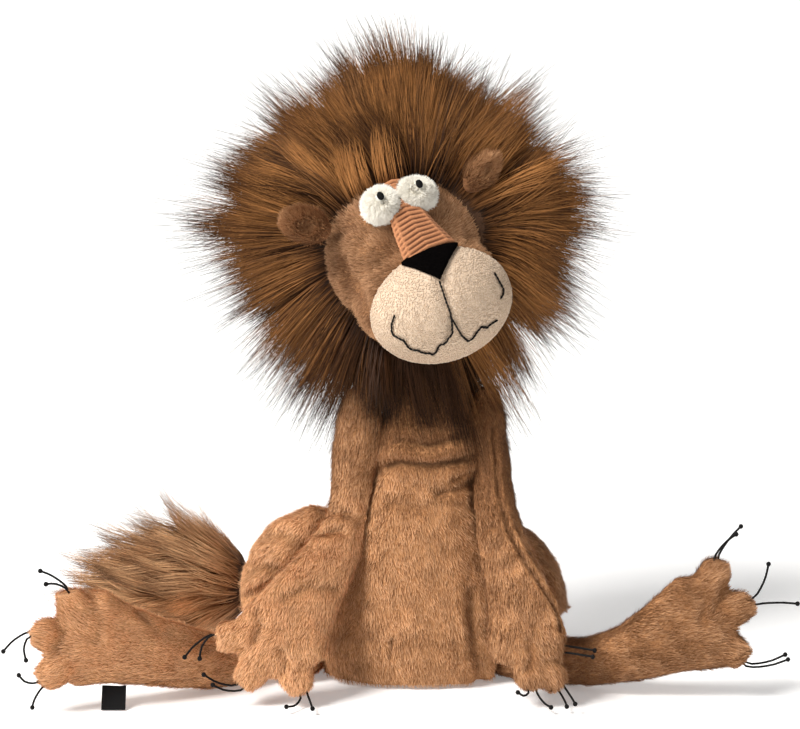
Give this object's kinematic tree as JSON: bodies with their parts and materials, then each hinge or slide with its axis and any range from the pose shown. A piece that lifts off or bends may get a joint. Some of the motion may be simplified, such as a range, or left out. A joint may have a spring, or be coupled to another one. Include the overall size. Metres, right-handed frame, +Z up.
{
  "type": "plush lion",
  "caption": "Seated plush lion with long floppy limbs, knotted cord claws, a full long-haired mane, a terry muzzle and a tufted tail.",
  "frame": {"origin": "middle of the flat underside of the seat panel, on which the lion sits", "axes": "+Z up, +X towards the lion's own left, so that it faces -Y"},
  "size_m": [0.4757, 0.1921, 0.3961],
  "materials": {
    "plush": "short soft pile, caramel",
    "long_pile": "long pile, brown with near-black tips",
    "tuft_pile": "long pile, light brown with dark tips",
    "terry": "cream terry loops",
    "corduroy": "ribbed, rust orange",
    "velvet": "black velvet",
    "white_plush": "short white pile",
    "pupil": "black, matt",
    "waxed_cord": "black waxed cord",
    "ribbon": "black woven ribbon, plain",
    "linen": "plain weave, natural"
  },
  "bodies": {
    "body": {"torso": "plush", "seat_panel": "plush", "pellet_pouch": "linen", "haunch_right": "plush", "haunch_left": "plush"},
    "head": {"head": "plush", "muzzle": "terry", "eye_right": "white_plush", "pupil_right": "pupil", "eye_left": "white_plush", "pupil_left": "pupil", "nose_bridge": "corduroy", "nose": "velvet", "ear_right": "plush", "ear_left": "plush", "mane": "long_pile"},
    "arm_right": {"arm_right": "plush", "arm_right_claw_1": "waxed_cord", "arm_right_claw_2": "waxed_cord", "arm_right_claw_3": "waxed_cord"},
    "arm_left": {"arm_left": "plush", "arm_left_claw_1": "waxed_cord", "arm_left_claw_2": "waxed_cord", "arm_left_claw_3": "waxed_cord"},
    "leg_right": {"leg_right": "plush", "side_label": "ribbon", "leg_right_claw_1": "waxed_cord", "leg_right_claw_2": "waxed_cord", "leg_right_claw_3": "waxed_cord"},
    "leg_left": {"leg_left": "plush", "leg_left_claw_1": "waxed_cord", "leg_left_claw_2": "waxed_cord", "leg_left_claw_3": "waxed_cord"},
    "tail": {"tail": "plush", "tail_tuft": "tuft_pile"}
  },
  "joints": [
    {"name": "head_turn", "type": "hinge", "parent": "body", "child": "head", "pos_m": [0.0075, 0.004, 0.172], "axis": [0, 0, 1], "range_deg": [-20, 20]},
    {"name": "arm_right_raise", "type": "hinge", "parent": "body", "child": "arm_right", "pos_m": [-0.035, -0.003, 0.152], "axis": [-1, 0, 0], "range_deg": [0, 55]},
    {"name": "arm_left_raise", "type": "hinge", "parent": "body", "child": "arm_left", "pos_m": [0.045, -0.003, 0.152], "axis": [-1, 0, 0], "range_deg": [0, 55]},
    {"name": "leg_right_splay", "type": "hinge", "parent": "body", "child": "leg_right", "pos_m": [-0.07973, -0.016, 0.02], "axis": [0, 0, -1], "range_deg": [0, 20]},
    {"name": "leg_left_splay", "type": "hinge", "parent": "body", "child": "leg_left", "pos_m": [0.06767, -0.016, 0.02], "axis": [0, 0, 1], "range_deg": [0, 25]},
    {"name": "tail_swing", "type": "hinge", "parent": "body", "child": "tail", "pos_m": [-0.012, 0.055, 0.021], "axis": [0, 0, -1], "range_deg": [0, 80]}
  ]
}
